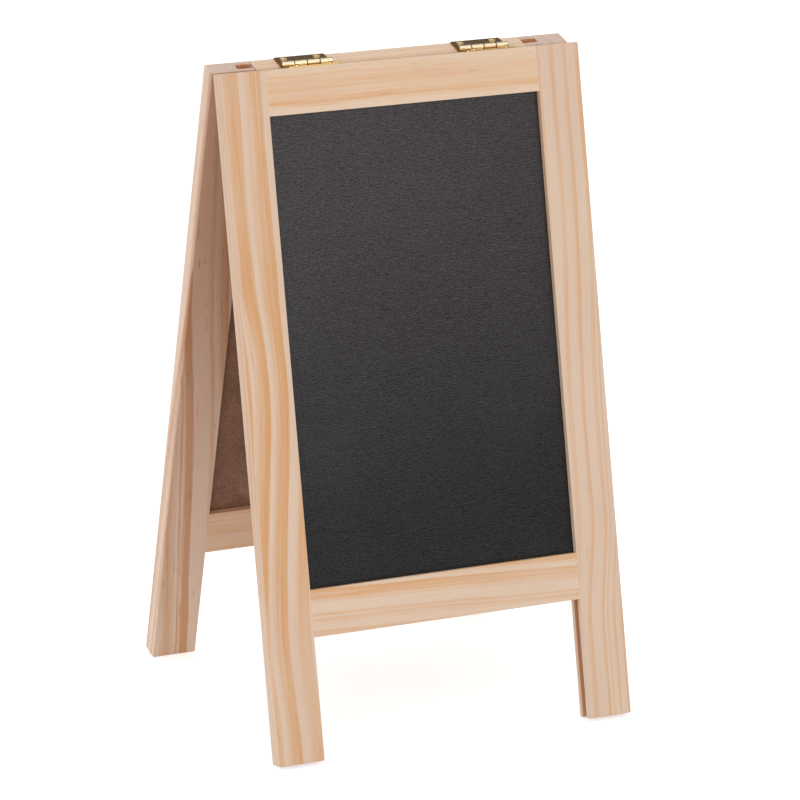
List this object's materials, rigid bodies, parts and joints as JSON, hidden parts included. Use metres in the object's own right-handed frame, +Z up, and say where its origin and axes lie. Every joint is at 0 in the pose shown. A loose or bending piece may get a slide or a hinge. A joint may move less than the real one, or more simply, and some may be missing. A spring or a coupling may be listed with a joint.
{
  "type": "folding a-frame chalkboard",
  "caption": "Small freestanding A-frame chalkboard: two framed black boards, hinged at the top, that fold together or open out flat.",
  "frame": {"origin": "on the ground, midway between the feet, under the hinge line", "axes": "+Z up; +X along the hinge line, to the right as the front board is read; +Y from the front board to the rear board"},
  "size_m": [0.18, 0.1682, 0.3114],
  "materials": {
    "pine": "bare planed pine",
    "hardboard": "raw brown fibreboard",
    "chalk_black": "matt black writing film, lightly textured",
    "brass": "polished brass plate"
  },
  "bodies": {
    "front_frame": {"front_left_stile": "pine", "front_right_stile": "pine", "front_top_rail": "pine", "front_bottom_rail": "pine", "front_panel": "hardboard", "front_chalk_surface": "chalk_black", "left_hinge_front_leaf": "brass", "left_hinge_front_nails": "brass", "left_hinge_pin": "brass", "right_hinge_front_leaf": "brass", "right_hinge_front_nails": "brass", "right_hinge_pin": "brass"},
    "rear_frame": {"rear_left_stile": "pine", "rear_right_stile": "pine", "rear_top_rail": "pine", "rear_bottom_rail": "pine", "rear_panel": "hardboard", "rear_chalk_surface": "chalk_black", "left_hinge_rear_leaf": "brass", "left_hinge_rear_nails": "brass", "right_hinge_rear_leaf": "brass", "right_hinge_rear_nails": "brass"}
  },
  "joints": [
    {"name": "fold", "type": "hinge", "parent": "front_frame", "child": "rear_frame", "pos_m": [0, 0, 0.30974], "axis": [1, 0, 0], "range_deg": [-27, 153]}
  ]
}
